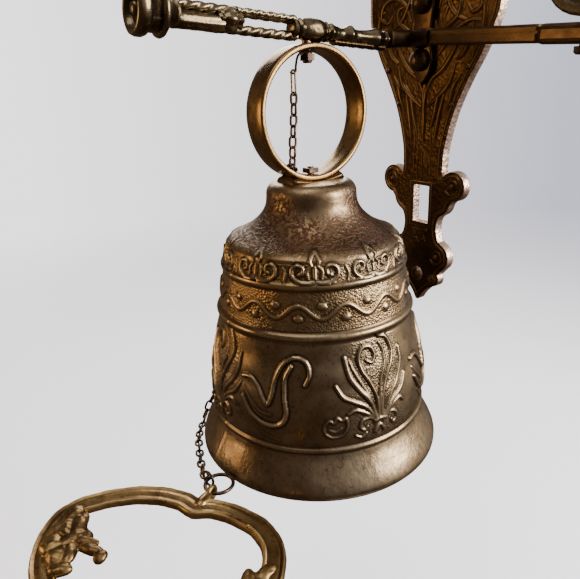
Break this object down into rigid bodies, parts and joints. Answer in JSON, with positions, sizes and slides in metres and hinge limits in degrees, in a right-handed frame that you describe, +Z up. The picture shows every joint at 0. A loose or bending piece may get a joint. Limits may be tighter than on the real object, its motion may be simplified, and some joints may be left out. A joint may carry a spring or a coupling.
{
  "type": "wall-hung sanctus bell",
  "caption": "Brass bell with a loop, bolted under a wall bracket's openwork arm over a pierced plate, with a side arm, a pull chain and a cast heart-shaped pull.",
  "frame": {"origin": "on the wall plate's back face, on its centre line, at the height of the arm", "axes": "+Y into the wall, so the main arm reaches out along -Y; +X to the right; +Z up"},
  "size_m": [0.1551, 0.2158, 0.3543],
  "materials": {
    "lacquered_brass": "brown lacquered cast brass",
    "arm_brass": "polished cast brass with a greenish tarnish",
    "bell_brass": "turned and worn bell brass",
    "pull_brass": "cast brass, dark in the hollows",
    "dark_steel": "oiled dark steel"
  },
  "bodies": {
    "bracket_and_bell": {"wall_plate": "lacquered_brass", "plate_screw_upper": "lacquered_brass", "plate_screw_lower": "lacquered_brass", "dome_bolt_upper": "arm_brass", "dome_bolt_lower": "arm_brass", "arm_bracket": "lacquered_brass", "arm_root": "arm_brass", "bell_boss": "arm_brass", "arm_rails": "arm_brass", "arm_end": "arm_brass", "side_arm": "lacquered_brass", "side_block": "lacquered_brass", "side_rosette": "arm_brass", "rosette_screw": "dark_steel", "bell_shell": "bell_brass", "suspension_ring": "bell_brass", "bell_bolt": "dark_steel", "bell_nut": "dark_steel", "chain_hook": "arm_brass", "clapper_staple": "dark_steel", "staple_nut": "dark_steel"},
    "clapper": {"clapper_rod": "dark_steel", "clapper_ball": "dark_steel"},
    "upper_chain": {"long_link": "arm_brass", "hanging_chain": "dark_steel"},
    "bell_chain": {"draped_chain": "dark_steel"},
    "tail": {"tail_chain": "dark_steel"},
    "small_ring": {"small_jump_ring": "dark_steel"},
    "large_ring": {"large_jump_ring": "dark_steel"},
    "pull": {"pull_handle": "pull_brass"}
  },
  "joints": [
    {"name": "clapper_swing", "type": "hinge", "parent": "bracket_and_bell", "child": "clapper", "pos_m": [0, -0.074, -0.067], "axis": [1, 0, 0], "range_deg": [-24, 24]},
    {"name": "chain_swing", "type": "hinge", "parent": "bracket_and_bell", "child": "upper_chain", "pos_m": [-0.0083, -0.0755, -0.0122], "axis": [0, 1, 0], "range_deg": [0, 20]},
    {"name": "chain_lift", "type": "hinge", "parent": "upper_chain", "child": "bell_chain", "pos_m": [-0.0083, -0.0779, -0.0518], "axis": [0, 1, 0], "range_deg": [0, 15]},
    {"name": "tail_drop", "type": "hinge", "parent": "bell_chain", "child": "tail", "pos_m": [-0.0415, -0.1185, -0.1824], "axis": [0.4299, 0.9029, 0], "range_deg": [0, 80]},
    {"name": "small_ring_turn", "type": "hinge", "parent": "tail", "child": "small_ring", "pos_m": [0.0042, -0.1401, -0.1792], "axis": [-0.1746, 0.9846, 0], "range_deg": [-12, 12]},
    {"name": "large_ring_turn", "type": "hinge", "parent": "small_ring", "child": "large_ring", "pos_m": [0.00813, -0.13928, -0.178], "axis": [-0.1746, 0.9846, 0], "range_deg": [-20, 20]},
    {"name": "pull_swing", "type": "hinge", "parent": "large_ring", "child": "pull", "pos_m": [0.0163, -0.14308, -0.178], "axis": [0.866, 0.5, 0], "range_deg": [-20, 80]}
  ]
}
